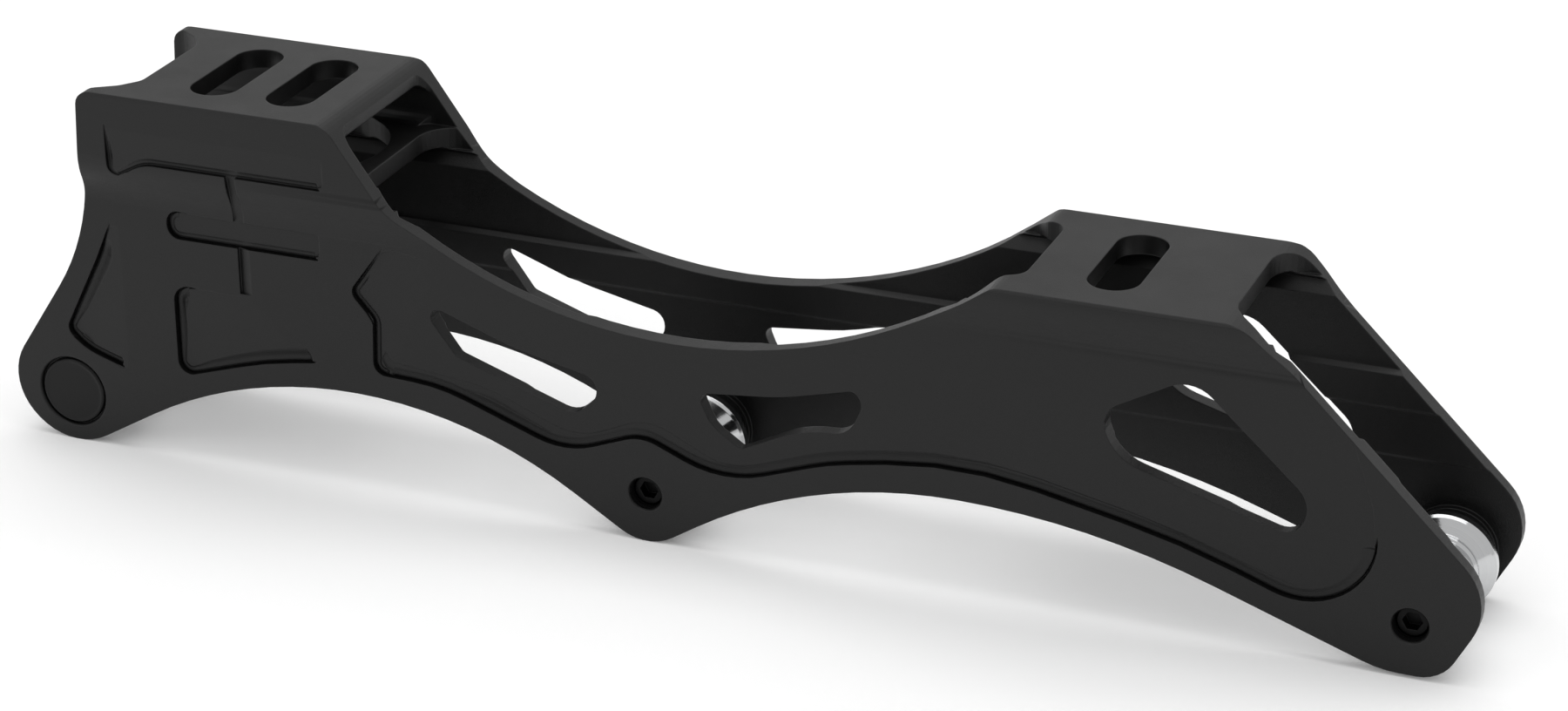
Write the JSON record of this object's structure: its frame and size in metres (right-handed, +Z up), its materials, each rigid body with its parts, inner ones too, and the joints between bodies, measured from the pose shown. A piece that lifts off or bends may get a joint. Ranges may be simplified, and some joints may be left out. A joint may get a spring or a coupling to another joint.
{
  "type": "inline skate frame",
  "caption": "Black milled inline skate frame with raised heel plate, low toe plate, slotted boot mounts, side windows and silver axle hubs.",
  "frame": {"origin": "middle of the wheelbase, on the centre plane, level with the lowest points of the bosses", "axes": "+X forward to the toe, +Y across to the far wall where the axle heads are, +Z up"},
  "size_m": [0.2707, 0.0374, 0.0695],
  "materials": {
    "black_anodised": "matt black anodised, fine bead-blasted",
    "badge_black": "satin black anodised",
    "axle_steel": "dark satin steel",
    "spacer_metal": "bright turned aluminium",
    "collar_metal": "polished turned aluminium"
  },
  "bodies": {
    "frame": {"frame_body": "black_anodised", "badge_disc": "badge_black"},
    "axle_bolt_rear": {"axle_rear": "axle_steel"},
    "hub_rear": {"spacer_rear": "spacer_metal", "collar_rear_near": "collar_metal", "collar_rear_far": "collar_metal"},
    "axle_bolt_mid": {"axle_mid": "axle_steel"},
    "hub_mid": {"spacer_mid": "spacer_metal", "collar_mid_near": "collar_metal", "collar_mid_far": "collar_metal"},
    "axle_bolt_front": {"axle_front": "axle_steel"},
    "hub_front": {"spacer_front": "spacer_metal", "collar_front_near": "collar_metal", "collar_front_far": "collar_metal"}
  },
  "joints": [
    {"name": "hub_rear_spin", "type": "hinge", "parent": "frame", "child": "hub_rear", "pos_m": [-0.124, 0, 0.0095], "axis": [0, 1, 0], "continuous": true},
    {"name": "axle_rear_out", "type": "slide", "parent": "frame", "child": "axle_bolt_rear", "axis": [0, 1, 0], "range_m": [0, 0.034]},
    {"name": "hub_mid_spin", "type": "hinge", "parent": "frame", "child": "hub_mid", "pos_m": [-0.0103, 0, 0.009], "axis": [0, 1, 0], "continuous": true},
    {"name": "axle_mid_out", "type": "slide", "parent": "frame", "child": "axle_bolt_mid", "axis": [0, 1, 0], "range_m": [0, 0.034]},
    {"name": "hub_front_spin", "type": "hinge", "parent": "frame", "child": "hub_front", "pos_m": [0.124, 0, 0.0095], "axis": [0, 1, 0], "continuous": true},
    {"name": "axle_front_out", "type": "slide", "parent": "frame", "child": "axle_bolt_front", "axis": [0, 1, 0], "range_m": [0, 0.034]}
  ]
}
